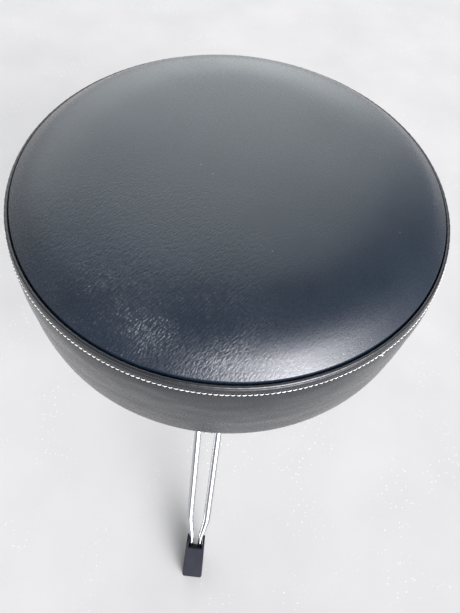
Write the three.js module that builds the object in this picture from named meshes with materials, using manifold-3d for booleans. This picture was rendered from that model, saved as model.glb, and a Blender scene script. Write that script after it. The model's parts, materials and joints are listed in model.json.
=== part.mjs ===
// Round padded stool on a folding tripod, in millimetres, +Z up.
// The floor is z = 0. The origin is the middle of the footprint's bounding box, and the column stands behind
// it at y = columnY.
// In each leg's own group, +X points outwards from the column, +Y is the leg's left and +Z is up.
import * as THREE from "three";
import { mergeVertices } from "three/addons/utils/BufferGeometryUtils.js";
import Module from "manifold-3d";

const wasm = await Module();
wasm.setup();

// ---- Driving dimensions ----
const gap = 0.3; // between pieces that touch
const runningGap = 0.25; // radial, between pieces that turn or slide in each other
const roundSides = 24;
const smallSides = 10;
const seatSides = 40;

// Seat
const seatRadius = 175; // widest part of the side band
const seamRadius = 167; // where the top panel meets the welt
const seamHeight = 500;
const crownHeight = 22;
const crownFlatRadius = 60;
const bandHeight = 88;
const bandCorner = 8;
const bandTurnUnder = 24;
const vinyl = 1.2;
const weltRadius = 1.8;
const boardThickness = 12;
const foamRadius = 171;
const dustCoverThickness = 0.7;
const dustCoverRadius = 160;

// Seat bracket and its fasteners
const plateSize = 112;
const plateCorner = 14;
const plateThickness = 3;
const boltSpacing = 80;
const boltRadius = 3;
const boltHeadAcross = 10;
const boltHeadHeight = 4;
const socketRadius = 17.5;
const socketBore = 13.9;
const socketLength = 40;
const bushWall = 0.7;

// Column
const postRadius = 12.7;
const postWall = 1.8;
const postLength = 338;
const tubeRadius = 15.9;
const tubeWall = 2;
const tubeBottom = 20;
const tubeTop = 262;
const clampBottom = 238;
const clampTop = 268;
const clampRadius = 22;
const stopRingRadius = 20;
const stopRingHeight = 13;

// Tripod
const legCount = 3;
const frontLegAzimuth = -90; // degrees
const legSlope = THREE.MathUtils.degToRad(42);
const pivotRadius = 28; // of the leg and strut hinges, from the column's axis
const legPivotHeight = 220;
const strutLength = 94; // between its pins, and from the leg's hinge to its strut pin
const strutPivotHeight = legPivotHeight - 2 * strutLength * Math.sin(legSlope);
const railLength = 300;
const railRadius = 4.75;
const railWall = 1.2;
// A rail's flattened end at the hub and its squeezed end in the foot; offset is from the leg's middle plane.
const hingeEnd = { offset: 12.6, halfWidth: 1.7, halfHeight: 6.5 };
const footEnd = { offset: 5.8, halfWidth: 3.1, halfHeight: 5.8 };
const railBowStart = 14.3; // the round stretch's middle, from the same plane, where it leaves the hub
const railBowEnd = 11.3; // and where it starts to turn in to the foot
const strutSteel = 1.5;
const pinRadius = 3;
const rivetRadius = 2.5;
const endRivetSetback = 15;
const strutWidth = 11;
const strutHeight = 12;
const hubRadius = 21;
const hubHeight = 28;
const collarRadius = 21;
const collarHeight = 20;

// Foot
const footReach = 266; // outer face, from the column's axis
const footCheekLength = 256; // along the leg, from its hinge to the tips of the foot's two cheeks
const footTopLength = 266; // and to the top wall, which is cut back
const footUndersideLength = 276; // and to the wall below, cut back further
const footMouthHalfWidth = 11.8;
const footSoleHalfWidth = 13.4;
const footWall = 11; // from the leg's centreline to the foot's top and underside
const footSoleInner = 236; // where the sole begins, from the column's axis
const footCavityEnd = railLength + 1.5;
const footCavityHalfWidth = footEnd.offset + footEnd.halfWidth + 0.4;

const columnY = (footReach - seatRadius) / 2;
const boardRadius = seatRadius - bandCorner;
const bandBottom = seamHeight - bandHeight;
const boardBottom = bandBottom + vinyl + gap;
const boardTop = boardBottom + boardThickness;
const dustCoverBottom = bandBottom - gap - dustCoverThickness;
const plateTop = dustCoverBottom - gap;
const plateBottom = plateTop - plateThickness;
const socketBottom = plateBottom - socketLength;
const bushTop = plateBottom - gap;
const bushCapThickness = 2.5;
const postTop = bushTop - bushCapThickness - gap;
const nutFlangeRadius = 9;
const nutFlangeThickness = 1.2;
const foamBottom = boardTop + nutFlangeThickness + 2 * gap;

// ---- Materials ----
const finish = (color, roughness, metalness) =>
  new THREE.MeshStandardMaterial({ color, roughness, metalness });
const blackVinyl = finish(0x15171b, 0.38, 0);
const foamYellow = finish(0xd8c98c, 0.95, 0);
const plywood = finish(0xb98a55, 0.8, 0);
const blackCloth = finish(0x101012, 0.95, 0);
const chrome = finish(0xd6d8da, 0.12, 1);
const zincPlate = finish(0xa9abad, 0.35, 1);
const blackEnamel = finish(0x16171a, 0.45, 0.2);
const blackNylon = finish(0x1b1b1d, 0.55, 0);
const blackRubber = finish(0x1c1d20, 0.75, 0);

// ---- Solids: three.js makes the shapes, manifold-3d joins and cuts them ----
function toSolid(geometry) {
  const bare = geometry.clone();
  bare.deleteAttribute("normal");
  bare.deleteAttribute("uv");
  const merged = mergeVertices(bare, 1e-3);
  return new wasm.Manifold(
    new wasm.Mesh({
      numProp: 3,
      vertProperties: merged.attributes.position.array,
      triVerts: new Uint32Array(merged.index.array),
    }),
  );
}

function toGeometry(solid) {
  const mesh = solid.getMesh();
  const geometry = new THREE.BufferGeometry();
  geometry.setAttribute("position", new THREE.BufferAttribute(mesh.vertProperties, 3));
  geometry.setIndex(new THREE.BufferAttribute(mesh.triVerts, 1));
  geometry.computeVertexNormals();
  return geometry;
}

const join = (...shapes) => toGeometry(shapes.map(toSolid).reduce((a, b) => a.add(b)));
const cut = (base, ...tools) =>
  toGeometry(tools.map(toSolid).reduce((a, b) => a.subtract(b), toSolid(base)));
const common = (a, b) => toGeometry(toSolid(a).intersect(toSolid(b)));

// A solid of revolution about Z. The profile's [radius, z] points run anticlockwise, with the axis on the left.
function turned(profile, sides = roundSides) {
  const points = profile.map(([radius, z]) => new THREE.Vector2(radius, z));
  return new THREE.LatheGeometry(points, sides).rotateX(Math.PI / 2);
}

function ring(inner, outer, bottom, top, sides = roundSides) {
  const profile = [
    [inner, bottom],
    [outer, bottom],
    [outer, top],
    [inner, top],
    [inner, bottom],
  ];
  return turned(profile, sides);
}

// A cylinder along Z whose lower end is at z = bottom.
function rod(radius, bottom, top, sides = smallSides) {
  const cylinder = new THREE.CylinderGeometry(radius, radius, top - bottom, sides);
  return cylinder.rotateX(Math.PI / 2).translate(0, 0, (bottom + top) / 2);
}

const alongX = (geometry) => geometry.rotateY(Math.PI / 2);
const alongY = (geometry) => geometry.rotateX(-Math.PI / 2);

function block(x0, x1, y0, y1, z0, z1) {
  const box = new THREE.BoxGeometry(x1 - x0, y1 - y0, z1 - z0);
  return box.translate((x0 + x1) / 2, (y0 + y1) / 2, (z0 + z1) / 2);
}

// A flat outline in X and Y, thickened from z = bottom to top.
function plate(shape, bottom, top, curveSegments = 4) {
  const settings = { depth: top - bottom, bevelEnabled: false, curveSegments };
  return new THREE.ExtrudeGeometry(shape, settings).translate(0, 0, bottom);
}

// A side outline in X and Z, thickened from y = right to left.
function slab(shape, right, left, curveSegments = 6) {
  return plate(shape, -left, -right, curveSegments).rotateX(Math.PI / 2);
}

const outline = (points) => new THREE.Shape(points.map(([x, y]) => new THREE.Vector2(x, y)));

// A bar from x = 0 to x = length, with a round end at each place where roundStart or roundEnd asks for one.
function barOutline(length, halfHeight, roundStart, roundEnd) {
  const shape = new THREE.Shape();
  shape.moveTo(0, -halfHeight);
  shape.lineTo(length, -halfHeight);
  if (roundEnd) shape.absarc(length, 0, halfHeight, -Math.PI / 2, Math.PI / 2, false);
  shape.lineTo(length, halfHeight);
  shape.lineTo(0, halfHeight);
  if (roundStart) shape.absarc(0, 0, halfHeight, Math.PI / 2, (3 * Math.PI) / 2, false);
  return shape;
}

function roundedSquare(size, corner) {
  const h = size / 2;
  const shape = new THREE.Shape();
  shape.absarc(h - corner, -h + corner, corner, -Math.PI / 2, 0, false);
  shape.absarc(h - corner, h - corner, corner, 0, Math.PI / 2, false);
  shape.absarc(-h + corner, h - corner, corner, Math.PI / 2, Math.PI, false);
  shape.absarc(-h + corner, -h + corner, corner, Math.PI, (3 * Math.PI) / 2, false);
  return shape;
}

function part(name, geometry, material) {
  const mesh = new THREE.Mesh(geometry, material);
  mesh.name = name;
  return mesh;
}

// ---- Fasteners ----
// A hex bolt along +Z: its head's face is at z = 0 and its shank rises to z = length.
function hexBolt(radius, length, across, headHeight) {
  const head = rod(across / Math.sqrt(3), -headHeight, 0, 6);
  return join(head, rod(radius, -gap, length));
}

// A rivet along Y, clinched over both faces of what it holds, half of that thickness to each side.
function rivet(radius, halfGrip, headRadius, headHeight) {
  const face = halfGrip + gap / 2;
  const head = (y0, y1, r0, r1) =>
    alongY(turned([[0, y0], [r0, y0], [r1, y1], [0, y1]], smallSides));
  const left = head(face, face + headHeight, headRadius, headRadius * 0.7);
  const right = head(-face - headHeight, -face, headRadius * 0.7, headRadius);
  return join(left, right, alongY(rod(radius, -face - headHeight / 2, face + headHeight / 2)));
}

// One side of a split rivet: a head on the rail's outer face, a shank through the rail and a spacer inside it.
function halfRivet(side) {
  const middle = railMiddleAt(strutLength);
  const face = middle + railRadius + gap / 2;
  const inside = middle - railRadius - gap;
  const spacerRadius = 3.8;
  const headHeight = 1.8;
  const profile = [
    [0, strutWidth / 2 + gap],
    [spacerRadius, strutWidth / 2 + gap],
    [spacerRadius, inside],
    [rivetRadius, inside],
    [rivetRadius, face],
    [rivetRadius * 1.8, face],
    [rivetRadius * 1.3, face + headHeight],
    [0, face + headHeight],
  ];
  const rightHanded = alongY(turned(profile, smallSides));
  return side > 0 ? rightHanded : rightHanded.rotateZ(Math.PI);
}

// The two wings of a wing bolt or nut: one flat outline across the hub, which is at x = 0 to hubLength.
function wings(hubLength, span, thickness) {
  const shape = new THREE.Shape();
  shape.moveTo(0, -5);
  shape.bezierCurveTo(2, -12, 6, -span, 14, -span);
  shape.bezierCurveTo(22, -span, 22, -span + 8, hubLength - 1, -5);
  shape.lineTo(hubLength - 1, 5);
  shape.bezierCurveTo(22, span - 8, 22, span, 14, span);
  shape.bezierCurveTo(6, span, 2, 12, 0, 5);
  return plate(shape, -thickness / 2, thickness / 2, 5);
}

const wingHubLength = 13;
const wingSpan = 19;

function wingHub() {
  return alongX(turned([[0, 0], [8, 0], [6, wingHubLength], [0, wingHubLength]], 20));
}

// A wing bolt along +X: its tip is at x = 0, and its hub starts at x = shankLength.
function wingBolt(radius, shankLength) {
  const head = join(wingHub(), wings(wingHubLength, wingSpan, 4)).translate(shankLength, 0, 0);
  return join(head, alongX(rod(radius, 0, shankLength + 2)));
}

function wingNut(boreRadius) {
  const body = join(wingHub(), wings(wingHubLength, wingSpan, 4));
  return cut(body, alongX(rod(boreRadius, -1, wingHubLength + 8)));
}

// ---- Seat ----
const crownPower = 7.5;
const crownAt = (radius) => crownHeight * (1 - (radius / seamRadius) ** crownPower);
const crownStations = [crownFlatRadius, 90, 115, 135, 150, 160];

function seatTopPanel() {
  const drop = crownAt(crownFlatRadius);
  const height = (radius) => seamHeight + Math.min(crownAt(radius), drop);
  const edge = seamRadius - gap;
  const outer = [...crownStations, edge].map((r) => [r, height(r)]);
  const inner = crownStations.map((r) => [r, height(r) - vinyl]);
  const profile = [
    [0, height(crownFlatRadius) - vinyl],
    ...inner,
    [edge - 1, seamHeight - vinyl * 2],
    [edge, seamHeight - vinyl * 2],
    ...outer.reverse(),
    [0, height(crownFlatRadius)],
  ];
  return turned(profile, seatSides);
}

// The band's outer line from its stitched shoulder down to its bottom corner.
const bandLine = [
  [seamRadius + weltRadius + 2, seamHeight - weltRadius - gap],
  [seatRadius - 2, seamHeight - 10],
  [seatRadius, seamHeight - 40],
  [seatRadius, bandBottom + bandCorner],
];

function seatSideBand() {
  const corner = (radius, share) => [
    seatRadius - bandCorner + radius * Math.cos((share * Math.PI) / 2),
    bandBottom + bandCorner - radius * Math.sin((share * Math.PI) / 2),
  ];
  const turnUnder = seatRadius - bandTurnUnder;
  const shares = [1 / 3, 2 / 3, 1];
  const outside = [...bandLine, ...shares.map((s) => corner(bandCorner, s))];
  const inside = [
    ...bandLine.map(([r, z]) => [r - vinyl, z]),
    ...shares.map((s) => corner(bandCorner - vinyl, s)),
  ];
  const profile = [
    [turnUnder, bandBottom],
    ...outside.reverse(),
    ...inside,
    [turnUnder, bandBottom + vinyl],
    [turnUnder, bandBottom],
  ];
  return turned(profile, seatSides);
}

function seatWelt() {
  const cordSides = 8;
  const middle = seamRadius + weltRadius + gap / 2;
  const profile = Array.from({ length: cordSides + 1 }, (_, i) => {
    const angle = (i / cordSides) * 2 * Math.PI;
    return [middle + weltRadius * Math.cos(angle), seamHeight + weltRadius * Math.sin(angle)];
  });
  return turned(profile, seatSides);
}

function seatFoam() {
  const drop = crownAt(crownFlatRadius);
  const height = (radius) => seamHeight - vinyl - gap + Math.min(crownAt(radius), drop);
  const shoulder = seamRadius - 4;
  const top = [...crownStations, shoulder].map((r) => [r, height(r) - 1.5]);
  const profile = [
    [0, foamBottom],
    [foamRadius, foamBottom],
    [foamRadius, seamHeight - 20],
    ...top.reverse(),
    [0, height(crownFlatRadius) - 1.5],
  ];
  return turned(profile, seatSides);
}

const boltCorners = [
  [1, 1],
  [-1, 1],
  [-1, -1],
  [1, -1],
].map(([x, y]) => [(x * boltSpacing) / 2, (y * boltSpacing) / 2]);

// The same hole at each corner of the bracket's bolt square.
const boltHoles = (radius, bottom, top) =>
  boltCorners.map(([x, y]) => rod(radius, bottom, top).translate(x, y, 0));

const nutBarrelRadius = 4.5;

function seatBoard() {
  const disc = turned(
    [[0, boardBottom], [boardRadius, boardBottom], [boardRadius, boardTop], [0, boardTop]],
    seatSides,
  );
  return cut(disc, ...boltHoles(nutBarrelRadius + gap, boardBottom - 1, boardTop + 1));
}

function dustCover() {
  const top = dustCoverBottom + dustCoverThickness;
  const profile = [[0, dustCoverBottom], [dustCoverRadius, dustCoverBottom], [dustCoverRadius, top], [0, top]];
  return cut(turned(profile, seatSides), ...boltHoles(boltRadius + gap, dustCoverBottom - 1, top + 1));
}

// A flanged nut that drops into the board from above, so its barrel hangs below its flange at z = 0.
function boardNut() {
  const barrelLength = boardThickness - 2;
  const profile = [
    [boltRadius + gap, -barrelLength],
    [nutBarrelRadius, -barrelLength],
    [nutBarrelRadius, 0],
    [nutFlangeRadius, 0],
    [nutFlangeRadius, nutFlangeThickness],
    [boltRadius + gap, nutFlangeThickness],
    [boltRadius + gap, -barrelLength],
  ];
  return turned(profile, smallSides);
}

const seatBossHeight = socketBottom + 16;
const seatBossEnd = 24; // from the column's axis
const bossRadius = 8;
const wingBoltRadius = 4;
const ribReach = 46;
const ribDepth = 20;

function seatBracket() {
  const flange = plate(roundedSquare(plateSize, plateCorner), plateBottom, plateTop);
  const rib = outline([
    [0, 0],
    [ribReach, 0],
    [ribReach - 2, -4],
    [socketRadius - 1, -ribDepth],
    [0, -ribDepth],
  ]);
  const ribs = [0, 1, 2, 3].map((quarter) =>
    slab(rib, -plateThickness / 2, plateThickness / 2)
      .translate(0, 0, plateBottom + 0.5)
      .rotateZ((quarter * Math.PI) / 2),
  );
  const boss = alongX(rod(bossRadius, 10, seatBossEnd, 20)).translate(0, 0, seatBossHeight);
  const body = join(flange, rod(socketRadius, socketBottom, plateBottom + 1, roundSides), boss, ...ribs);
  return cut(
    body,
    rod(socketBore, socketBottom - 1, plateBottom, roundSides),
    alongX(rod(wingBoltRadius + gap, 5, 40)).translate(0, 0, seatBossHeight),
    ...boltHoles(boltRadius + gap, plateBottom - 1, plateTop + 1),
  );
}

// A closed sleeve that the post turns in: its cap carries the seat on the post's end.
function socketBush() {
  const inner = postRadius + runningGap;
  const outer = inner + bushWall;
  const bottom = socketBottom + 1;
  const capBottom = bushTop - bushCapThickness;
  return turned([
    [inner, bottom],
    [outer, bottom],
    [outer, bushTop],
    [0, bushTop],
    [0, capBottom],
    [inner, capBottom],
    [inner, bottom],
  ]);
}

const seat = new THREE.Group();
seat.add(
  part("seat_top_panel", seatTopPanel(), blackVinyl),
  part("seat_side_band", seatSideBand(), blackVinyl),
  part("seat_welt", seatWelt(), blackVinyl),
  part("seat_foam", seatFoam(), foamYellow),
  part("seat_board", seatBoard(), plywood),
  part("seat_dust_cover", dustCover(), blackCloth),
  part("seat_bracket", seatBracket(), blackEnamel),
  part("seat_socket_bush", socketBush(), blackNylon),
);
boltCorners.forEach(([x, y], i) => {
  const nut = part(`board_nut_${i + 1}`, boardNut(), zincPlate);
  nut.position.set(x, y, boardTop + gap);
  const length = boardTop + gap - plateBottom;
  const hex = hexBolt(boltRadius, length, boltHeadAcross, boltHeadHeight);
  const bolt = part(`bracket_bolt_${i + 1}`, hex, zincPlate);
  bolt.position.set(x, y, plateBottom - gap);
  seat.add(nut, bolt);
});
const seatWingBolt = part("seat_wing_bolt", wingBolt(wingBoltRadius, 26), chrome);
seatWingBolt.position.set(socketBore + gap, 0, seatBossHeight);
seat.add(seatWingBolt);

// ---- Post ----
const stopEarWidth = 14;
const stopEarReach = 24; // from the column's axis, towards -Y
const stopScrewY = -19.5;
const stopSlitHalf = 1.2;
const stopRingBottom = clampTop + gap;
const stopRingTop = stopRingBottom + stopRingHeight;
const stopRingMiddle = (stopRingBottom + stopRingTop) / 2;

function heightStopRing() {
  const [below, above] = [stopRingBottom - 1, stopRingTop + 1];
  const body = join(
    rod(stopRingRadius, stopRingBottom, stopRingTop, roundSides),
    block(0, stopEarWidth, -stopEarReach, -stopRingRadius / 2, stopRingBottom, stopRingTop),
  );
  return cut(
    body,
    rod(postRadius + runningGap, below, above, roundSides),
    block(-stopSlitHalf, stopSlitHalf, -stopEarReach - 6, 0, below, above),
    alongX(rod(rivetRadius + gap, -2, stopEarWidth + 6)).translate(0, stopScrewY, stopRingMiddle),
  );
}

const post = new THREE.Group();
const stopScrew = part("height_stop_screw", alongX(hexBolt(rivetRadius, 11, 8, 5)).rotateZ(Math.PI), zincPlate);
stopScrew.position.set(stopEarWidth + gap, stopScrewY, stopRingMiddle);
post.add(
  part("seat_post", ring(postRadius - postWall, postRadius, postTop - postLength, postTop), chrome),
  part("height_stop_ring", heightStopRing(), zincPlate),
  stopScrew,
);

// ---- Column: the base tube, its clamp, and the hub that the legs hang from ----
const clampEarReach = 46;
const clampEarHalf = 12; // the two ears together, across the slit
const clampBoltRadius = 4;
const clampBoltY = 36;
const clampBoltHeadAcross = 13;
const clampBoltHeadHeight = 5.5;
const clampMiddle = (clampBottom + clampTop) / 2;

function tubeBushing() {
  const inner = postRadius + runningGap;
  const sleeve = tubeRadius - tubeWall - gap;
  const flangeTop = tubeTop + gap + 2;
  return turned([
    [inner, tubeTop - 40],
    [sleeve, tubeTop - 40],
    [sleeve, tubeTop + gap],
    [tubeRadius, tubeTop + gap],
    [tubeRadius, flangeTop],
    [inner, flangeTop],
    [inner, tubeTop - 40],
  ]);
}

function heightClamp() {
  const lip = tubeTop + gap + 2 + gap;
  const body = join(
    rod(clampRadius, clampBottom, clampTop, roundSides),
    slab(barOutline(clampBoltY, 12, false, true), -clampEarHalf, clampEarHalf)
      .rotateZ(Math.PI / 2)
      .translate(0, 0, clampMiddle),
  );
  const across = alongX(rod(clampBoltRadius + gap, -30, 30));
  return cut(
    body,
    rod(tubeRadius + gap, clampBottom - 1, lip, roundSides),
    rod(postRadius + 1, clampBottom - 1, clampTop + 1, roundSides),
    block(-2.5, 2.5, 0, clampEarReach + 10, clampBottom - 1, clampTop + 1),
    across.translate(0, clampBoltY, clampMiddle),
  );
}

function tubeEndCap() {
  const plug = tubeRadius - tubeWall - gap;
  const profile = [
    [0, tubeBottom - gap - 2.5],
    [tubeRadius, tubeBottom - gap - 2.5],
    [tubeRadius, tubeBottom - gap],
    [plug, tubeBottom - gap],
    [plug, tubeBottom + 12],
    [0, tubeBottom + 12],
  ];
  return turned(profile);
}

// A sleeve on the tube with a tongue for each leg or strut, drilled for its pin.
function threeTongueCollar(outer, height, tongueHalfWidth, tongueHalfHeight, middle) {
  const profile = barOutline(pivotRadius, tongueHalfHeight, false, true);
  const tongue = () => slab(profile, -tongueHalfWidth, tongueHalfWidth);
  const hole = () => alongY(rod(pinRadius + runningGap, -20, 20)).translate(pivotRadius, 0, 0);
  const angles = Array.from({ length: legCount }, (_, i) => legAzimuth(i));
  const body = join(
    rod(outer, -height / 2, height / 2, roundSides),
    ...angles.map((angle) => tongue().rotateZ(angle)),
  );
  return cut(
    body,
    rod(tubeRadius + runningGap, -height, height, roundSides),
    ...angles.map((angle) => hole().rotateZ(angle)),
  ).translate(0, 0, middle);
}

function legAzimuth(index) {
  return THREE.MathUtils.degToRad(frontLegAzimuth + (index * 360) / legCount);
}

const clampBoltHeadX = -clampEarHalf - gap;
const clampBoltLength = 2 * clampEarHalf + 16;

function base() {
  const group = new THREE.Group();
  const bolt = alongX(hexBolt(clampBoltRadius, clampBoltLength, clampBoltHeadAcross, clampBoltHeadHeight));
  bolt.translate(clampBoltHeadX, clampBoltY, clampMiddle);
  const hubTongueHalf = hingeEnd.offset - hingeEnd.halfWidth - gap;
  const hub = threeTongueCollar(hubRadius, hubHeight, hubTongueHalf, 8, legPivotHeight);
  const screwHole = alongX(rod(rivetRadius + gap, 0, 40)).rotateZ(Math.PI / 2);
  const screw = alongX(rod(rivetRadius, tubeRadius + runningGap + gap, hubRadius + 1));
  group.add(
    part("base_tube", ring(tubeRadius - tubeWall, tubeRadius, tubeBottom, tubeTop), chrome),
    part("tube_bushing", tubeBushing(), blackNylon),
    part("height_clamp", heightClamp(), zincPlate),
    part("height_clamp_bolt", bolt, zincPlate),
    part("leg_hub", cut(hub, screwHole.translate(0, 0, legPivotHeight)), zincPlate),
    part("leg_hub_screw", screw.rotateZ(Math.PI / 2).translate(0, 0, legPivotHeight), zincPlate),
    part("tube_end_cap", tubeEndCap(), blackNylon),
  );
  const nut = part("height_wing_nut", wingNut(clampBoltRadius + gap), chrome);
  nut.position.set(clampEarHalf + 2 * gap, clampBoltY, clampMiddle);
  group.add(nut);
  return group;
}

// ---- Sliding collar that the struts push against ----
const collarBossEnd = 30;

function strutCollar() {
  const tongueHalf = strutWidth / 2 - strutSteel - gap;
  const sleeve = threeTongueCollar(collarRadius, collarHeight, tongueHalf, 7, 0);
  const boss = alongX(rod(7.5, tubeRadius + 2, collarBossEnd, 20)).rotateZ(Math.PI / 2);
  const thread = alongX(rod(wingBoltRadius + gap, 0, 40)).rotateZ(Math.PI / 2);
  return cut(join(sleeve, boss), thread, rod(tubeRadius + runningGap, -30, 30, roundSides));
}

const collar = new THREE.Group();
const collarWingBolt = part("collar_wing_bolt", wingBolt(wingBoltRadius, 18), chrome);
collarWingBolt.position.set(0, tubeRadius + 2 * gap, 0);
collarWingBolt.rotation.z = Math.PI / 2;
collar.add(part("strut_collar", strutCollar(), zincPlate), collarWingBolt);
collar.position.z = strutPivotHeight;

// ---- Legs ----
const endRivetHead = 1.4;

// A round tube's middle, from the leg's middle plane, between its two ends.
const bowFrom = 24;
const bowTo = 228;

function railMiddleAt(x) {
  return THREE.MathUtils.mapLinear(x, bowFrom, bowTo, railBowStart, railBowEnd);
}

// A rail's sections: [along the leg, middle's offset, half width, half height].
const railSections = [
  [-hingeEnd.halfHeight - 0.5, hingeEnd.offset, hingeEnd.halfWidth, hingeEnd.halfHeight],
  [9, hingeEnd.offset, hingeEnd.halfWidth, hingeEnd.halfHeight],
  [bowFrom, railBowStart, railRadius, railRadius],
  [bowTo, railBowEnd, railRadius, railRadius],
  [240, 9, 4.2, 5.1],
  [252, 6.3, 3.3, 5.7],
  [262, footEnd.offset, footEnd.halfWidth, footEnd.halfHeight],
  [railLength, footEnd.offset, footEnd.halfWidth, footEnd.halfHeight],
];

// A closed bar along X through oblong sections, each smaller all round by inset.
// The flatter a section is, the squarer it is.
function loftedBar(sections, side, inset) {
  const sides = 16;
  const positions = [];
  const index = [];
  sections.forEach(([x, offset, halfWidth, halfHeight]) => {
    const power = 0.5 + (0.5 * halfWidth) / halfHeight;
    const squared = (value) => Math.sign(value) * Math.abs(value) ** power;
    for (let k = 0; k < sides; k++) {
      const angle = (2 * Math.PI * k) / sides;
      const y = side * offset + (halfWidth - inset) * squared(Math.cos(angle));
      positions.push(x, y, (halfHeight - inset) * squared(Math.sin(angle)));
    }
  });
  const first = sections[0];
  const last = sections[sections.length - 1];
  const startMiddle = positions.length / 3;
  positions.push(first[0], side * first[1], 0, last[0], side * last[1], 0);
  const lastRing = (sections.length - 1) * sides;
  for (let k = 0; k < sides; k++) {
    const next = (k + 1) % sides;
    index.push(startMiddle, next, k, startMiddle + 1, lastRing + k, lastRing + next);
    for (let ring = 0; ring < lastRing; ring += sides) {
      index.push(ring + k, ring + next, ring + sides + k);
      index.push(ring + next, ring + sides + next, ring + sides + k);
    }
  }
  const geometry = new THREE.BufferGeometry();
  geometry.setAttribute("position", new THREE.Float32BufferAttribute(positions, 3));
  geometry.setIndex(index);
  return geometry;
}

// A round tube: flattened, rounded and drilled at its hinge end, drilled for its strut, and squeezed at its foot.
function rail(side) {
  const [boreStart, ...boreRest] = [[17, 13.5, 1.8, 3.6], ...railSections.slice(2)];
  const [, offset, halfWidth, halfHeight] = boreRest.pop();
  const bore = [boreStart, ...boreRest, [railLength + 1, offset, halfWidth, halfHeight]];
  const tube = cut(loftedBar(railSections, side, 0), loftedBar(bore, side, railWall));
  const trim = slab(barOutline(railLength + 2, hingeEnd.halfHeight + 0.01, true, false), -25, 25);
  const rounded = common(tube, trim);
  return cut(
    rounded,
    alongY(rod(pinRadius + gap, -25, 25)),
    alongY(rod(rivetRadius + gap, -25, 25)).translate(strutLength, 0, 0),
    alongY(rod(rivetRadius + gap, -25, 25)).translate(railLength - endRivetSetback, 0, 0),
  );
}

// Moves a shape from the leg's own line, with its hinge at the origin and +X along the leg, to the upright group.
const ontoLeg = (geometry) => geometry.rotateY(legSlope).translate(pivotRadius, 0, legPivotHeight);

// A point of the upright leg group: so far along the leg, and so far above its centreline.
function onLegLine(along, above) {
  return [
    pivotRadius + along * Math.cos(legSlope) + above * Math.sin(legSlope),
    legPivotHeight - along * Math.sin(legSlope) + above * Math.cos(legSlope),
  ];
}

// A rubber shoe: a sleeve along the leg with a flat sole. Its top and underside are cut back between two cheeks.
function foot() {
  const [, outerTop] = onLegLine(railLength + 12, footWall);
  const side = slab(
    outline([
      [footSoleInner, 0],
      [footReach, 0],
      [footReach, outerTop],
      onLegLine(footTopLength, footWall),
      onLegLine(footCheekLength + 3, footWall - 2),
      onLegLine(footCheekLength, footWall - 6),
      onLegLine(footCheekLength, -footWall + 6),
      onLegLine(footCheekLength + 3, -footWall + 2),
      onLegLine(footUndersideLength, -footWall),
    ]),
    -20,
    20,
  );
  const [mouthX] = onLegLine(footCheekLength, -footWall);
  const corner = 3;
  const plan = new THREE.Shape();
  plan.moveTo(mouthX - 2, -footMouthHalfWidth);
  plan.lineTo(footReach - corner, -footSoleHalfWidth);
  plan.absarc(footReach - corner, -footSoleHalfWidth + corner, corner, -Math.PI / 2, 0, false);
  plan.absarc(footReach - corner, footSoleHalfWidth - corner, corner, 0, Math.PI / 2, false);
  plan.lineTo(mouthX - 2, footMouthHalfWidth);
  const body = common(side, plate(plan, -1, 90));
  const half = footEnd.halfHeight + gap;
  const mouth = footCheekLength - 20;
  const inner = footCavityHalfWidth;
  const cavity = block(mouth, footCavityEnd, -inner, inner, -half, half);
  const topNotch = block(mouth, footTopLength, -inner, inner, 0, 30);
  const undersideNotch = block(mouth, footUndersideLength, -inner, inner, -30, 0);
  const rivetEnd = footEnd.offset + footEnd.halfWidth + endRivetHead + gap;
  const rivetPocket = alongY(rod(rivetRadius * 1.8 + 1, -rivetEnd, rivetEnd));
  rivetPocket.translate(railLength - endRivetSetback, 0, 0);
  return cut(body, ...[cavity, topNotch, undersideNotch, rivetPocket].map(ontoLeg));
}

function leg(index) {
  const name = `leg_${index + 1}`;
  const group = new THREE.Group();
  group.rotation.z = legAzimuth(index);
  const along = new THREE.Group();
  along.position.set(pivotRadius, 0, legPivotHeight);
  along.rotation.y = legSlope;
  along.add(
    part(`${name}_left_rail`, rail(1), chrome),
    part(`${name}_right_rail`, rail(-1), chrome),
    part(`${name}_pivot_rivet`, rivet(pinRadius, hingeEnd.offset + hingeEnd.halfWidth, 5.5, 2), chrome),
  );
  [1, -1].forEach((side) => {
    const split = part(`${name}_strut_rivet_${side > 0 ? "left" : "right"}`, halfRivet(side), chrome);
    split.position.x = strutLength;
    along.add(split);
  });
  const endGrip = footEnd.offset + footEnd.halfWidth;
  const endShape = rivet(rivetRadius, endGrip, rivetRadius * 1.8, endRivetHead);
  const endRivet = part(`${name}_end_rivet`, endShape, chrome);
  endRivet.position.x = railLength - endRivetSetback;
  along.add(endRivet);
  group.add(along, part(`${name}_foot`, foot(), blackRubber));
  return group;
}

// ---- Struts ----
// A channel with its web on top, cut back to a pair of round ears at each pin.
function strutBar() {
  const halfWidth = strutWidth / 2;
  const halfHeight = strutHeight / 2;
  const webStart = 10;
  const bar = slab(barOutline(strutLength, halfHeight, true, true), -halfWidth, halfWidth);
  const inside = halfWidth - strutSteel;
  const hole = () => alongY(rod(pinRadius + runningGap, -20, 20));
  return cut(
    bar,
    block(-20, strutLength + 20, -inside, inside, -20, halfHeight - strutSteel),
    block(-20, webStart, -inside, inside, -20, 20),
    block(strutLength - webStart, strutLength + 20, -inside, inside, -20, 20),
    hole(),
    hole().translate(strutLength, 0, 0),
  );
}

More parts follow.
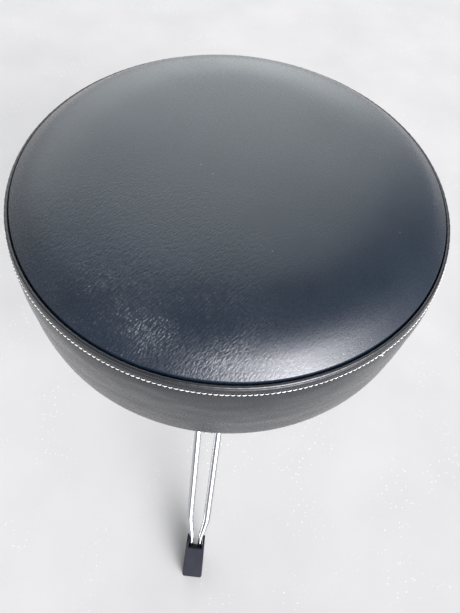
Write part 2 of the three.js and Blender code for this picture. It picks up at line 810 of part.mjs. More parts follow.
function strut(index) {
  const name = `strut_${index + 1}`;
  const group = new THREE.Group();
  group.rotation.z = legAzimuth(index);
  const along = new THREE.Group();
  along.position.set(pivotRadius, 0, strutPivotHeight);
  along.rotation.y = -legSlope;
  const topPin = part(`${name}_top_pin`, alongY(rod(pinRadius, -strutWidth / 2, strutWidth / 2)), zincPlate);
  topPin.position.x = strutLength;
  along.add(
    part(name, strutBar(), chrome),
    part(`${name}_rivet`, rivet(pinRadius, strutWidth / 2, 5, 1.3), zincPlate),
    topPin,
  );
  group.add(along);
  return group;
}

// ---- The stool ----
const stool = new THREE.Group();
const column = new THREE.Group();
column.position.y = columnY;
column.add(base(), post, seat, collar);
for (let i = 0; i < legCount; i++) column.add(leg(i), strut(i));
stool.add(column);

export default stool;
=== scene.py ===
"""A round padded stool on a folding tripod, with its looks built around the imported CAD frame.

Metres, +Z up. The floor is z = 0 and the front leg points along -Y. A size that isn't read from the frame is
written in millimetres and multiplied by MM.
"""
import json
import math
import random

import bmesh
import bpy
from mathutils import Matrix, Vector, noise


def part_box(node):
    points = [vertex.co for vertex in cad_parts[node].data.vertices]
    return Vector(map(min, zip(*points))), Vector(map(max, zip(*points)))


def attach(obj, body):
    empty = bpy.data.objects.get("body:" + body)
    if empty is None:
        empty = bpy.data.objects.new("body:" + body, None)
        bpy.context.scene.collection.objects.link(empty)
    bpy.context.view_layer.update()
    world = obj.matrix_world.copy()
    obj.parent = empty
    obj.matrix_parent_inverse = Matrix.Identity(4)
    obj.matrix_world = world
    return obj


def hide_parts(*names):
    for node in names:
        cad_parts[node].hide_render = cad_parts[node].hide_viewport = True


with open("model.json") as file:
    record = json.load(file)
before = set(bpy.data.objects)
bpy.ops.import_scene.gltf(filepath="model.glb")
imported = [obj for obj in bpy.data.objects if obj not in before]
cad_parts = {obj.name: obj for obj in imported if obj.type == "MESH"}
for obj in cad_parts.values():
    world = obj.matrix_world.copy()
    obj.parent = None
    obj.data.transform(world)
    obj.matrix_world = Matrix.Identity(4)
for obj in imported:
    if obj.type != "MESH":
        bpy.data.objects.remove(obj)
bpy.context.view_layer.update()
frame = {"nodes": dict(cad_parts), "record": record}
nodes = frame["nodes"]
MM = 0.001
TAU = 2 * math.pi
random.seed(7)

# ---- Places and sizes that the frame gives ----
band_low, band_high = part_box("seat_side_band")
welt_low, welt_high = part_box("seat_welt")
panel_low, panel_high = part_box("seat_top_panel")

AXIS = Vector(((band_low.x + band_high.x) / 2, (band_low.y + band_high.y) / 2, 0))
SEAM_Z = (welt_low.z + welt_high.z) / 2
SEAM_R = (panel_high.x - panel_low.x) / 2
BAND_R = (band_high.x - band_low.x) / 2
BAND_Z = band_low.z
CROWN = panel_high.z - SEAM_Z
CROWN_POWER = 8


# ---- Camera: above the front leg, looking down at the seat ----
def make_camera():
    pitch, roll = math.radians(59.34), math.radians(6.65)
    ahead = Vector((0, math.cos(pitch), -math.sin(pitch)))
    level = Vector((1, 0, 0))
    up = level.cross(ahead)
    right = level * math.cos(roll) + up * math.sin(roll)
    top = up * math.cos(roll) - level * math.sin(roll)
    data = bpy.data.cameras.new("camera")
    data.sensor_width = 36
    data.lens = 27.07
    data.clip_start = 0.01
    camera = bpy.data.objects.new("camera", data)
    camera.matrix_world = Matrix((right, top, -ahead)).transposed().to_4x4()
    camera.location = AXIS + Vector((9.4 * MM, -266.7 * MM, SEAM_Z + 260.9 * MM))
    bpy.context.scene.collection.objects.link(camera)
    bpy.context.scene.camera = camera


make_camera()


# ---- Materials ----
class Nodes:
    """A short way to build one material's node tree."""

    def __init__(self, name):
        self.material = bpy.data.materials.new(name)
        self.material.use_nodes = True
        self.tree = self.material.node_tree
        self.shader = self.tree.nodes["Principled BSDF"]
        self.place = self.add("ShaderNodeTexCoord").outputs["Object"]

    def add(self, kind, **settings):
        node = self.tree.nodes.new(kind)
        for key, value in settings.items():
            setattr(node, key, value)
        return node

    def link(self, source, target):
        self.tree.links.new(source, target)

    def noise(self, scale, detail=3, roughness=0.5, place=None, distortion=0.0):
        node = self.add("ShaderNodeTexNoise")
        node.inputs["Scale"].default_value = scale
        node.inputs["Detail"].default_value = detail
        node.inputs["Roughness"].default_value = roughness
        node.inputs["Distortion"].default_value = distortion
        self.link(place or self.place, node.inputs["Vector"])
        return node.outputs["Fac"]

    def cells(self, scale, feature="F1", place=None, randomness=1.0):
        node = self.add("ShaderNodeTexVoronoi", feature=feature)
        node.inputs["Scale"].default_value = scale
        node.inputs["Randomness"].default_value = randomness
        self.link(place or self.place, node.inputs["Vector"])
        return node.outputs["Distance"]

    def stretched(self, size, turn=(0, 0, 0)):
        """Coordinates in which a feature is size long in each turned direction."""
        node = self.add("ShaderNodeMapping", vector_type="TEXTURE")
        node.inputs["Scale"].default_value = size
        node.inputs["Rotation"].default_value = turn
        self.link(self.place, node.inputs["Vector"])
        return node.outputs["Vector"]

    def swayed(self, place, scale, amount):
        """The coordinates moved to and fro by a noise, so that a pattern of straight features winds."""
        noise_node = self.add("ShaderNodeTexNoise")
        noise_node.inputs["Scale"].default_value = scale
        self.link(place, noise_node.inputs["Vector"])
        node = self.add("ShaderNodeVectorMath", operation="MULTIPLY_ADD")
        self.link(noise_node.outputs["Color"], node.inputs[0])
        node.inputs[1].default_value = (amount, amount, amount)
        self.link(place, node.inputs[2])
        return node.outputs["Vector"]

    def ramp(self, value, low, high, start=0.0, end=1.0):
        """value from low to high becomes start to end, held outside that range."""
        node = self.add("ShaderNodeMapRange")
        node.inputs["From Min"].default_value = low
        node.inputs["From Max"].default_value = high
        node.inputs["To Min"].default_value = start
        node.inputs["To Max"].default_value = end
        self.link(value, node.inputs["Value"])
        return node.outputs["Result"]

    def math(self, operation, a, b):
        node = self.add("ShaderNodeMath", operation=operation)
        for socket, value in zip(node.inputs, (a, b)):
            if isinstance(value, (int, float)):
                socket.default_value = value
            else:
                self.link(value, socket)
        return node.outputs["Value"]

    def colours(self, factor, first, second):
        node = self.add("ShaderNodeMix", data_type="RGBA")
        self.link(factor, node.inputs["Factor"])
        node.inputs["A"].default_value = (*first, 1)
        node.inputs["B"].default_value = (*second, 1)
        return node.outputs["Result"]

    def over(self, factor, below, colour):
        node = self.add("ShaderNodeMix", data_type="RGBA")
        self.link(factor, node.inputs["Factor"])
        self.link(below, node.inputs["A"])
        node.inputs["B"].default_value = (*colour, 1)
        return node.outputs["Result"]

    def bump(self, height, strength, distance, below=None):
        node = self.add("ShaderNodeBump")
        node.inputs["Strength"].default_value = strength
        node.inputs["Distance"].default_value = distance
        self.link(height, node.inputs["Height"])
        if below is not None:
            self.link(below, node.inputs["Normal"])
        return node.outputs["Normal"]

    def finish(self, colour=None, roughness=None, normal=None, **constants):
        for name, source in (("Base Color", colour), ("Roughness", roughness), ("Normal", normal)):
            if source is not None:
                self.link(source, self.shader.inputs[name])
        for name, value in constants.items():
            self.shader.inputs[name.replace("_", " ")].default_value = value
        return self.material


def make_vinyl(name, dark, light, creases):
    """Coated vinyl: pebble grain, slight mottling, dust specks and, on the crown, fine creases."""
    m = Nodes(name)
    pebble = m.ramp(m.cells(1100, feature="DISTANCE_TO_EDGE"), 0.0, 0.35)
    normal = m.bump(pebble, 0.24, 0.10 * MM)
    normal = m.bump(m.noise(2600, detail=2), 0.07, 0.06 * MM, normal)
    if creases:
        # The creases run to the right and away from the front leg, and are strongest at the front left. Each
        # layer: how long and how wide a crease is, its turn from +X in degrees, and its depth.
        axes = m.add("ShaderNodeSeparateXYZ")
        m.link(m.place, axes.inputs["Vector"])
        front = m.ramp(axes.outputs["Y"], AXIS.y, AXIS.y - 120 * MM, 0.04, 1.0)
        left = m.ramp(axes.outputs["X"], AXIS.x + 60 * MM, AXIS.x - 60 * MM, 0.16, 1.0)
        where = m.math("MULTIPLY", front, left)
        for length, width, turn, depth in ((7.0, 1.8, 54, 0.19), (4.4, 1.3, 36, 0.10)):
            straight = m.stretched((length * MM, width * MM, 3 * MM), (0, 0, math.radians(turn)))
            lie = m.swayed(straight, 0.9, 0.55)
            fold = m.ramp(m.cells(1.0, feature="DISTANCE_TO_EDGE", place=lie), 0.0, 0.22)
            patchy = m.ramp(m.noise(22 + turn / 10, detail=2), 0.40, 0.60, 0.5, 1.0)
            height = m.math("MULTIPLY", m.math("MULTIPLY", fold, where), patchy)
            normal = m.bump(height, 0.9, depth * MM, normal)
    colour = m.colours(m.ramp(m.noise(26, detail=4), 0.3, 0.7), dark, light)
    speck = m.ramp(m.cells(105), 0.025, 0.045, 1.0, 0.0)
    rare = m.ramp(m.noise(60, detail=0), 0.56, 0.60)
    dust = m.math("MULTIPLY", m.math("MULTIPLY", speck, rare), 0.45)
    rough = m.ramp(m.noise(14, detail=5, roughness=0.6), 0.3, 0.7, 0.21, 0.29)
    rough = m.math("ADD", rough, m.ramp(m.noise(620, detail=2), 0.35, 0.65, -0.03, 0.05))
    return m.finish(m.over(dust, colour, (0.35, 0.36, 0.36)), rough, normal, Specular_IOR_Level=0.6)


def make_metal(name, colour, rough_low, rough_high, grain=0.0):
    m = Nodes(name)
    tone = m.noise(40, detail=4)
    second = tuple(c * 0.86 for c in colour)
    smear = m.ramp(m.noise(90, detail=6, roughness=0.65), 0.35, 0.7, rough_low, rough_high)
    normal = None
    if grain:
        normal = m.bump(m.noise(1500, detail=2), grain, 0.05 * MM)
    return m.finish(m.colours(m.ramp(tone, 0.3, 0.75), colour, second), smear, normal, Metallic=1.0)


def make_moulded(name, low, high, rough, grain_scale, strength, shine=0.5):
    """A moulded or painted dark surface with a fine texture and slight wear."""
    m = Nodes(name)
    tone = m.noise(55, detail=5, roughness=0.6)
    normal = m.bump(m.noise(grain_scale, detail=3), strength, 0.15 * MM)
    roughness = m.ramp(m.noise(70, detail=4), 0.3, 0.7, rough - 0.07, rough + 0.07)
    colour = m.colours(m.ramp(tone, 0.35, 0.75), low, high)
    return m.finish(colour, roughness, normal, Specular_IOR_Level=shine)


def make_thread():
    m = Nodes("stitching_thread")
    strands = m.add("ShaderNodeTexWave", wave_type="BANDS", bands_direction="DIAGONAL")
    strands.inputs["Scale"].default_value = 900
    m.link(m.place, strands.inputs["Vector"])
    soil = m.ramp(m.noise(120, detail=3), 0.35, 0.7)
    normal = m.bump(strands.outputs["Fac"], 0.5, 0.08 * MM)
    return m.finish(m.colours(soil, (0.78, 0.77, 0.73), (0.50, 0.49, 0.46)), None, normal, Roughness=0.7)


def make_foam():
    m = Nodes("cushion_foam")
    # The pores are darker where the bump sinks in: painted shade in the pore hollows.
    pores = m.ramp(m.cells(700), 0.1, 0.6)
    colour = m.colours(pores, (0.50, 0.40, 0.15), (0.72, 0.63, 0.32))
    return m.finish(colour, None, m.bump(pores, 0.6, 0.6 * MM), Roughness=0.95)


def make_plywood():
    m = Nodes("plywood")
    plies = m.noise(1.0, detail=6, roughness=0.6, place=m.stretched((70 * MM, 6 * MM, 1.1 * MM)))
    colour = m.colours(m.ramp(plies, 0.3, 0.7), (0.36, 0.19, 0.07), (0.55, 0.34, 0.15))
    return m.finish(colour, None, m.bump(plies, 0.3, 0.3 * MM), Roughness=0.8)


def make_cloth():
    """Thin non-woven cloth: short random fibres and a grid of heat-pressed dots."""
    m = Nodes("dust_cover_cloth")
    fibres = m.noise(900, detail=6, roughness=0.7, distortion=2.5)
    dots = m.ramp(m.cells(520, randomness=0.15), 0.20, 0.34)
    height = m.math("MULTIPLY", m.math("ADD", fibres, 0.4), dots)
    colour = m.colours(m.ramp(height, 0.2, 0.9), (0.005, 0.005, 0.006), (0.026, 0.026, 0.028))
    return m.finish(colour, None, m.bump(height, 0.7, 0.25 * MM), Roughness=0.92, Sheen_Weight=0.15)


crown_vinyl = make_vinyl("crown_vinyl", (0.003, 0.007, 0.014), (0.005, 0.010, 0.018), creases=True)
band_vinyl = make_vinyl("band_vinyl", (0.005, 0.006, 0.008), (0.009, 0.010, 0.013), creases=False)
chrome = make_metal("chrome_plate", (0.60, 0.61, 0.63), 0.05, 0.13)
zinc = make_metal("zinc_plate", (0.56, 0.57, 0.58), 0.26, 0.42, grain=0.25)
enamel = make_moulded("black_enamel", (0.012, 0.012, 0.014), (0.020, 0.020, 0.022), 0.36, 700, 0.15)
nylon = make_moulded("black_nylon", (0.010, 0.010, 0.011), (0.022, 0.022, 0.023), 0.5, 1300, 0.25)
rubber = make_moulded("black_rubber", (0.007, 0.008, 0.013), (0.014, 0.015, 0.021), 0.66, 1600, 0.4, 0.16)
MATERIAL_OF_SLOT = {
    "black_vinyl": band_vinyl,
    "foam": make_foam(),
    "plywood": make_plywood(),
    "black_cloth": make_cloth(),
    "black_enamel": enamel,
    "black_nylon": nylon,
    "chrome": chrome,
    "zinc_plate": zinc,
    "black_rubber": rubber,
}
thread = make_thread()
SLOT_OF_NODE = {s["node"]: s["material_slot"] for s in frame["record"]["subparts"]}
BODY_OF_NODE = {n: body for body, members in frame["record"]["behaviour"]["bodies"].items() for n in members}


# ---- Mesh helpers ----
def new_object(name, verts, faces, material, place=AXIS, smooth=True):
    mesh = bpy.data.meshes.new(name)
    mesh.from_pydata([tuple(Vector(v) + place) for v in verts], [], faces)
    mesh.validate()
    mesh.materials.append(material)
    obj = bpy.data.objects.new(name, mesh)
    bpy.context.scene.collection.objects.link(obj)
    if smooth:
        mesh.shade_smooth()
    return obj


def loft(rings, close_along=False):
    """Vertices and faces of a surface through closed rings that have the same number of points."""
    count = len(rings[0])
    verts = [p for ring in rings for p in ring]
    faces = []
    spans = len(rings) if close_along else len(rings) - 1
    for i in range(spans):
        j = (i + 1) % len(rings)
        for k in range(count):
            m = (k + 1) % count
            faces.append((i * count + k, i * count + m, j * count + m, j * count + k))
    return verts, faces


def circle(radius, z, sides):
    return [(radius * math.cos(TAU * k / sides), radius * math.sin(TAU * k / sides), z) for k in range(sides)]


def smooth_line(points, steps):
    """A Catmull-Rom curve through the points, with that many steps between each two."""
    vectors = [Vector(p) for p in points]
    ends = [2 * vectors[0] - vectors[1], *vectors, 2 * vectors[-1] - vectors[-2]]
    line = []
    for p0, p1, p2, p3 in zip(ends, ends[1:], ends[2:], ends[3:]):
        for k in range(steps):
            t = k / steps
            line.append(0.5 * (2 * p1 + (p2 - p0) * t + (2 * p0 - 5 * p1 + 4 * p2 - p3) * t ** 2
                               + (3 * p1 - p0 - 3 * p2 + p3) * t ** 3))
    line.append(vectors[-1])
    return line


def turned(name, profile, sides, material, shape=None):
    """A surface turned round the seat's axis. shape may move each point by its angle and profile share."""
    rings = []
    for i, (radius, z) in enumerate(profile):
        ring = circle(radius, z, sides)
        if shape:
            share = i / (len(profile) - 1)
            ring = [shape(Vector(p), TAU * k / sides, share) for k, p in enumerate(ring)]
        rings.append(ring)
    verts, faces = loft(rings)
    return new_object(name, verts, faces, material)


def add_modifier(obj, kind, **settings):
    modifier = obj.modifiers.new(kind.lower(), kind)
    for key, value in settings.items():
        setattr(modifier, key, value)
    return modifier


def stands_for(piece, *names):
    """piece rides on the body of the nodes it replaces, and those nodes are hidden."""
    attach(piece, BODY_OF_NODE[names[0]])
    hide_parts(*names)
    return piece


# ---- Seat ----
def crown_height(radius):
    """The crown's height over the seam: nearly flat, then curving into a straight slope down to the seam."""
    straight_from = SEAM_R - 10 * MM
    share = min(radius, straight_from) / SEAM_R
    slope = CROWN * CROWN_POWER * share ** (CROWN_POWER - 1) / SEAM_R
    return CROWN * (1 - share ** CROWN_POWER) - max(0.0, radius - straight_from) * slope


def crown_relief(x, y):
    """Gentle hollows and swells of the padding, and short drag lines close to the seam."""
    p = Vector((x, y, 0))
    radius = p.length
    swell = noise.noise(p * 11) * 0.4 * MM
    angle = math.atan2(y, x)
    near_seam = max(0.0, (radius - SEAM_R + 24 * MM) / (24 * MM))
    drag = noise.noise(Vector((math.cos(angle) * 16, math.sin(angle) * 16, radius * 18)))
    fade = 1 - (radius / SEAM_R) ** 8
    return swell * fade + drag * 0.3 * MM * near_seam * fade


CLOTH_FRAMES = 20
SPREADING_PASSES = 24


def settle_as_cloth(panel, rings, sides, furthest):
    """Lets the panel swell over its filling as cloth held by its seam, then evens out the points' moves.

    The panel's vertices are its middle, then each ring from the middle out. The last three rings are held.
    """
    start = [v.co.copy() for v in panel.data.vertices]
    seam = panel.vertex_groups.new(name="seam")
    seam.add(range(1 + (rings - 3) * sides, len(start)), 1.0, "REPLACE")
    cloth = add_modifier(panel, "CLOTH")
    cloth.settings.quality = 6
    cloth.settings.mass = 0.4
    cloth.settings.tension_stiffness = 30
    cloth.settings.compression_stiffness = 30
    cloth.settings.bending_stiffness = 4
    cloth.settings.vertex_group_mass = "seam"
    cloth.settings.use_pressure = True
    cloth.settings.uniform_pressure_force = 4
    cloth.settings.effector_weights.gravity = 0
    cloth.point_cache.frame_end = CLOTH_FRAMES
    for frame_number in range(1, CLOTH_FRAMES + 1):
        bpy.context.scene.frame_set(frame_number)
    settled = panel.evaluated_get(bpy.context.evaluated_depsgraph_get()).data
    moves = [v.co - old for v, old in zip(settled.vertices, start)]
    panel.modifiers.remove(cloth)
    bpy.context.scene.frame_set(1)
    moves = [move * min(1.0, furthest / max(move.length, 1e-9)) for move in moves]
    for _ in range(SPREADING_PASSES):
        spread = list(moves)
        for i in range(1, rings - 1):
            for k in range(sides):
                at = 1 + i * sides
                beside = moves[at + (k + 1) % sides] + moves[at + (k - 1) % sides]
                across = moves[at - sides + k] + moves[at + sides + k]
                spread[at + k] = (moves[at + k] * 2 + beside + across) / 6
        ring = moves[1 + sides:1 + 2 * sides]
        spread[:1 + sides] = [sum(ring, Vector()) / sides] * (1 + sides)
        moves = spread
    for vertex, old, move in zip(panel.data.vertices, start, moves):
        vertex.co = old + move


def make_crown():
    rings, sides = 64, 176
    verts, faces = [(0, 0, SEAM_Z + crown_height(0) + crown_relief(0, 0))], []
    edge = SEAM_R - 0.2 * MM
    for i in range(1, rings + 1):
        share = i / rings
        radius = edge * (1 - (1 - share) ** 1.5)
        for x, y, _ in circle(radius, 0, sides):
            verts.append((x, y, SEAM_Z + crown_height(radius) + crown_relief(x, y)))
    # The last ring turns down beside the welt, so that nothing shows through the seam.
    verts[-sides:] = circle(SEAM_R + 0.2 * MM, SEAM_Z - 4.5 * MM, sides)
    for k in range(sides):
        faces.append((0, 1 + k, 1 + (k + 1) % sides))
    for i in range(rings - 1):
        for k in range(sides):
            a, b = 1 + i * sides + k, 1 + i * sides + (k + 1) % sides
            faces.append((a, a + sides, b + sides, b))
    crown = new_object("seat_crown", verts, faces, crown_vinyl)
    settle_as_cloth(crown, rings, sides, furthest=0.6 * MM)
    add_modifier(crown, "SUBSURF", levels=1, render_levels=1)
    add_modifier(crown, "SOLIDIFY", thickness=1.1 * MM, offset=-1)
    stands_for(crown, "seat_top_panel")


STITCH_R = BAND_R - 4 * MM
STITCH_Z = SEAM_Z - 5.8 * MM
BAND_PROFILE = [
    (SEAM_R + 2.0 * MM, SEAM_Z - 1.2 * MM),
    (SEAM_R + 3.0 * MM, SEAM_Z - 1.6 * MM),
    (SEAM_R + 3.9 * MM, SEAM_Z - 3.4 * MM),
    (STITCH_R, STITCH_Z),
    (STITCH_R + 0.9 * MM, STITCH_Z - 2.4 * MM),
    (STITCH_R + 2.2 * MM, STITCH_Z - 9 * MM),
    (BAND_R - 0.6 * MM, STITCH_Z - 22 * MM),
    (BAND_R, STITCH_Z - 42 * MM),
    (BAND_R, STITCH_Z - 60 * MM),
    (BAND_R - 0.7 * MM, BAND_Z + 8 * MM),
    (BAND_R - 3.5 * MM, BAND_Z + 2 * MM),
    (BAND_R - 8.5 * MM, BAND_Z + 0.2 * MM),
    (BAND_R - 24 * MM, BAND_Z + 0.2 * MM),
]


def band_shape(point, angle, share):
    """Soft level ripples on the side, and gathered pleats where the band turns under the board."""
    outward = Vector((math.cos(angle), math.sin(angle), 0))
    on_side = max(0.0, 1 - abs(share - 0.52) / 0.26)
    level = noise.noise(Vector((math.cos(angle) * 2.2, math.sin(angle) * 2.2, point.z * 55)))
    small = noise.noise(Vector((math.cos(angle) * 9, math.sin(angle) * 9, point.z * 130)))
    point = point + outward * on_side * (level * 0.9 + small * 0.35 - 0.5) * MM
    under = max(0.0, (share - 0.86) / 0.14)
    pleat = abs(math.sin(angle * 44 + 1.5 * noise.noise(outward * 5)))
    return point - Vector((0, 0, (1 - pleat) ** 1.5 * 0.18 * MM * under))


def make_band():
    line = smooth_line([(r, 0, z) for r, z in BAND_PROFILE], 6)
    profile = [(p.x, p.z) for p in line]
    band = turned("seat_band", profile, 384, band_vinyl, band_shape)
    add_modifier(band, "SOLIDIFY", thickness=1.0 * MM, offset=1)
    stands_for(band, "seat_side_band")


def make_welt():
    """The cord-filled welt in the seam, with the faint pucker that its stitches give it."""
    centre, radius, steps, sides = SEAM_R + 1.75 * MM, 1.45 * MM, 512, 14
    rings = []
    for i in range(steps):
        angle = TAU * i / steps
        uneven = noise.noise(Vector((math.cos(angle) * 9, math.sin(angle) * 9, 0)))
        swell = radius * (1 + 0.05 * math.sin(angle * 150) + 0.05 * uneven)
        ring = []
        for k in range(sides):
            turn = TAU * k / sides
            reach = centre + swell * math.cos(turn)
            z = SEAM_Z - 0.5 * MM + swell * math.sin(turn)
            ring.append((reach * math.cos(angle), reach * math.sin(angle), z))
        rings.append(ring)
    verts, faces = loft(rings, close_along=True)
    stands_for(new_object("seat_welt_cord", verts, faces, band_vinyl), "seat_welt")


LOOSE_END_ANGLE = math.radians(310)


def add_loose_end(verts, faces, angle, sides):
    """A short curled thread end that stands out of the stitch line."""
    outward = Vector((math.cos(angle), math.sin(angle), 0))
    along = Vector((-math.sin(angle), math.cos(angle), 0))
    up = Vector((0, 0, 1))
    thread_radius = 0.34 * MM
    foot = outward * STITCH_R + up * STITCH_Z
    bends = [(-1.6, 0.2, 0), (-0.6, 0.9, 0.5), (0.5, 1.2, 0.2), (1.3, 1.0, -0.8), (0.9, 1.3, -1.9)]
    line = [foot + (along * a + outward * o + up * u) * MM for a, o, u in smooth_line(bends, 4)]
    start = len(verts)
    for i, point in enumerate(line):
        ahead = (line[min(i + 1, len(line) - 1)] - line[max(i - 1, 0)]).normalized()
        side = ahead.cross(outward).normalized()
        top = side.cross(ahead)
        for k in range(sides):
            turn = TAU * k / sides
            verts.append(tuple(point + (side * math.cos(turn) + top * math.sin(turn)) * thread_radius))
    for i in range(len(line) - 1):
        for k in range(sides):
            a, b = start + i * sides + k, start + i * sides + (k + 1) % sides
            faces.append((a, b, b + sides, a + sides))
    faces.append(tuple(range(start + sides - 1, start - 1, -1)))
    faces.append(tuple(range(len(verts) - sides, len(verts))))


def make_stitching():
    """One raised thread for each stitch, twisted a little across the stitch line."""
    count, sides, steps = 308, 6, 6
    length, radius = TAU * STITCH_R / count * 0.86, 0.32 * MM
    verts, faces = [], []
    for i in range(count):
        middle = TAU * i / count
        slant = math.radians(7 + random.uniform(-3, 3))
        size = random.uniform(0.9, 1.08)
        start = len(verts)
        for j in range(steps + 1):
            along = (j / steps - 0.5) * length * size
            arch = math.sin(math.pi * j / steps)
            thick = radius * (0.35 + 0.65 * arch ** 0.5)
            angle = middle + along * math.cos(slant) / STITCH_R
            for k in range(sides):
                turn = TAU * k / sides
                reach = STITCH_R + 0.15 * MM + 0.30 * MM * arch + thick * math.cos(turn)
                z = STITCH_Z + along * math.sin(slant) + thick * math.sin(turn)
                verts.append((reach * math.cos(angle), reach * math.sin(angle), z))
        for j in range(steps):
            for k in range(sides):
                a, b = start + j * sides + k, start + j * sides + (k + 1) % sides
                faces.append((a, b, b + sides, a + sides))
        faces.append(tuple(range(start + sides - 1, start - 1, -1)))
        faces.append(tuple(range(start + steps * sides, start + (steps + 1) * sides)))
    add_loose_end(verts, faces, LOOSE_END_ANGLE, sides)
    stitches = new_object("seat_topstitching", verts, faces, thread)
    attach(stitches, "seat")


make_crown()
make_band()
make_welt()
make_stitching()


# ---- Every other piece: its CAD shape with rounded edges ----
FLAT_ANGLE = math.radians(32)
EDGE_ROUND = {
    "foot": 1.3 * MM,
    "strut_1": 0.5 * MM,
    "strut_2": 0.5 * MM,
    "strut_3": 0.5 * MM,
    "bracket": 0.8 * MM,
    "hub": 0.8 * MM,
    "collar": 0.8 * MM,
    "clamp": 0.9 * MM,
    "wing": 0.7 * MM,
}


def edge_round(name):
    for part, width in EDGE_ROUND.items():
        if name.endswith(part) or part == "wing" and part in name:
            return width
    return 0.3 * MM


def make_finer(name):
    """A copy of a CAD node with its facets merged, its edges rounded and its turned faces shaded smooth."""
    mesh = nodes[name].data.copy()
    work = bmesh.new()
    work.from_mesh(mesh)
    bmesh.ops.remove_doubles(work, verts=work.verts, dist=0.005 * MM)
    bmesh.ops.dissolve_limit(work, angle_limit=math.radians(1), verts=work.verts, edges=work.edges)
    work.to_mesh(mesh)
    work.free()
    mesh.materials.clear()
    mesh.materials.append(MATERIAL_OF_SLOT[SLOT_OF_NODE[name]])
    piece = bpy.data.objects.new(f"fine_{name}", mesh)
    bpy.context.scene.collection.objects.link(piece)
    mesh.shade_smooth()
    mesh.set_sharp_from_angle(angle=FLAT_ANGLE)
    add_modifier(piece, "BEVEL", width=edge_round(name), segments=3, limit_method="ANGLE",
                 angle_limit=FLAT_ANGLE, use_clamp_overlap=True, harden_normals=True)
    stands_for(piece, name)


# ---- The legs' tubes ----
# A section, in mm: how far along the leg, its middle's offset from the leg's middle plane, half width and
# half height.
LEG_SLOPE = math.radians(42)
LEG_HINGE = Vector((28 * MM, 0, 220 * MM))
HINGE_OFFSET, HINGE_HALF_WIDTH, HINGE_HALF_HEIGHT = 12.6, 1.7, 6.5
ROUND_END = [
    (HINGE_HALF_HEIGHT * (share - 1), HINGE_OFFSET, HINGE_HALF_WIDTH,
     HINGE_HALF_HEIGHT * math.sin(math.acos(1 - share)))
    for share in (0.02, 0.1, 0.3, 0.6)
]
RAIL_SECTIONS = [
    *ROUND_END,
    (0, HINGE_OFFSET, HINGE_HALF_WIDTH, HINGE_HALF_HEIGHT),
    (9, HINGE_OFFSET, HINGE_HALF_WIDTH, HINGE_HALF_HEIGHT),
    (24, 14.3, 4.75, 4.75),
    (40, 14.1, 4.75, 4.75),
    (130, 12.75, 4.75, 4.75),
    (215, 11.5, 4.75, 4.75),
    (228, 11.2, 4.72, 4.78),
    (240, 9, 4.2, 5.1),
    (252, 6.3, 3.3, 5.7),
    (262, 5.8, 3.1, 5.8),
    (300, 5.8, 3.1, 5.8),
]


def make_rail(number, side):
    name = f"leg_{number}_{'left' if side > 0 else 'right'}_rail"
    sides = 28
    outward = Matrix.Rotation(math.radians(120 * number - 210), 4, "Z")
    to_leg = outward @ Matrix.Translation(LEG_HINGE) @ Matrix.Rotation(LEG_SLOPE, 4, "Y")
    rings = []
    for along, offset, half_width, half_height in smooth_line(RAIL_SECTIONS, 5):
        # Where the tube is flattened, its section is squarer than an ellipse.
        power = 0.5 + 0.5 * min(1.0, half_width / half_height)
        ring = []
        for k in range(sides):
            across, up = math.cos(TAU * k / sides), math.sin(TAU * k / sides)
            y = side * offset + half_width * math.copysign(abs(across) ** power, across)
            z = half_height * math.copysign(abs(up) ** power, up)
            ring.append(to_leg @ Vector((along * MM, y * MM, z * MM)))
        rings.append(ring)
    verts, faces = loft(rings)
    faces.append(tuple(range(sides - 1, -1, -1)))
    faces.append(tuple(range(len(verts) - sides, len(verts))))
    stands_for(new_object(f"tube_{name}", verts, faces, chrome), name)


for leg_number in (1, 2, 3):
    make_rail(leg_number, 1)
    make_rail(leg_number, -1)
for node_name in nodes:
    if not node_name.endswith("rail") and node_name not in ("seat_top_panel", "seat_side_band", "seat_welt"):
        make_finer(node_name)


# ---- Floor and light ----
def make_floor():
    m = Nodes("floor_white")
    tone = m.ramp(m.noise(6, detail=3), 0.3, 0.7)
    # Bright specks in scattered patches are painted glints: sparkle painted into the floor's colour as
    # lighter specks.
    painted_glints = m.ramp(m.cells(150), 0.10, 0.16, 0.6, 0.0)
    glint_patches = m.ramp(m.noise(9, detail=2), 0.50, 0.62)
    plain = m.colours(tone, (0.36, 0.357, 0.35), (0.39, 0.385, 0.375))
    colour = m.over(m.math("MULTIPLY", painted_glints, glint_patches), plain, (0.70, 0.70, 0.70))
    rough = m.bump(m.cells(420), 0.25, 0.3 * MM)
    material = m.finish(colour, None, rough, Roughness=1.0, Specular_IOR_Level=0.0)
    size = 6.0
    corners = [(-size, -size, 0), (size, -size, 0), (size, size, 0), (-size, size, 0)]
    floor = new_object("floor", corners, [(0, 1, 2, 3)], material, smooth=False)


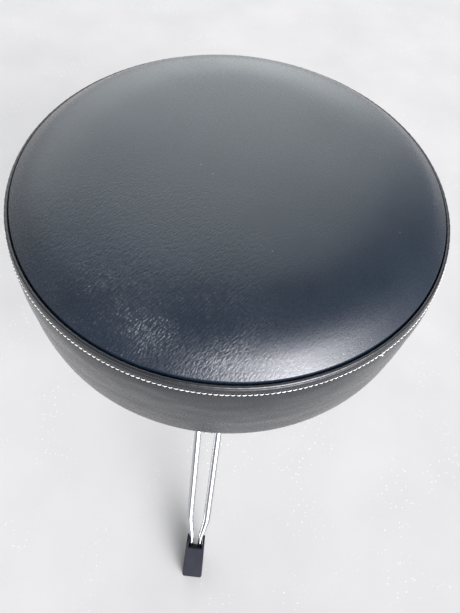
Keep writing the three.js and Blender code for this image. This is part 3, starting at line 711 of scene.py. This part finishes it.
def make_world():
    """A pale room lit by broad glows: a key in front on the right, and windows beyond and on the left.

    The camera sees a plain pale backdrop in place of the glows.
    """
    world = bpy.data.worlds.new("studio")
    world.use_nodes = True
    bpy.context.scene.world = world
    tree = world.node_tree
    place = tree.nodes.new("ShaderNodeTexCoord").outputs["Generated"]
    room = tree.nodes["Background"]
    room.inputs["Color"].default_value = (0.96, 1.0, 1.04, 1)
    room.inputs["Strength"].default_value = 0.35
    total = room.outputs["Background"]

    def calculate(kind, operation, *values):
        node = tree.nodes.new(kind)
        node.operation = operation
        for socket, value in zip(node.inputs, values):
            if isinstance(value, bpy.types.NodeSocket):
                tree.links.new(value, socket)
            else:
                socket.default_value = value
        return node

    # Each light: its azimuth from +Y towards +X and its elevation, both in degrees, its strength, how narrow
    # it is (the power of the cosine) and its colour.
    key = (145, 30, 22, 20, (1.0, 0.985, 1.05))
    key_halo = (140, 20, 6, 6, (1.0, 0.99, 1.03))
    window_beyond = (0, 15, 2, 6, (0.95, 1.0, 1.0))
    bright_wall_beyond = (0, 35, 1.2, 12, (0.95, 1.0, 0.99))
    window_left = (-50, 30, 1.5, 10, (0.95, 1.0, 1.01))
    lights = (key, key_halo, window_beyond, bright_wall_beyond, window_left)
    for azimuth, elevation, strength, narrow, colour in lights:
        turn, lift = math.radians(azimuth), math.radians(elevation)
        direction = (math.sin(turn) * math.cos(lift), math.cos(turn) * math.cos(lift), math.sin(lift))
        near = calculate("ShaderNodeVectorMath", "DOT_PRODUCT", place, direction).outputs["Value"]
        near = calculate("ShaderNodeMath", "MAXIMUM", near, 0.0).outputs["Value"]
        near = calculate("ShaderNodeMath", "POWER", near, narrow).outputs["Value"]
        near = calculate("ShaderNodeMath", "MULTIPLY", near, strength).outputs["Value"]
        lamp = tree.nodes.new("ShaderNodeBackground")
        lamp.inputs["Color"].default_value = (*colour, 1)
        tree.links.new(near, lamp.inputs["Strength"])
        both = tree.nodes.new("ShaderNodeAddShader")
        tree.links.new(total, both.inputs[0])
        tree.links.new(lamp.outputs["Background"], both.inputs[1])
        total = both.outputs["Shader"]
    backdrop = tree.nodes.new("ShaderNodeBackground")
    backdrop.inputs["Color"].default_value = (0.80, 0.80, 0.81, 1)
    chooser = tree.nodes.new("ShaderNodeMixShader")
    tree.links.new(tree.nodes.new("ShaderNodeLightPath").outputs["Is Camera Ray"], chooser.inputs["Fac"])
    tree.links.new(total, chooser.inputs[1])
    tree.links.new(backdrop.outputs["Background"], chooser.inputs[2])
    tree.links.new(chooser.outputs["Shader"], tree.nodes["World Output"].inputs["Surface"])


make_floor()
make_world()
bpy.context.scene.view_settings.view_transform = "Standard"
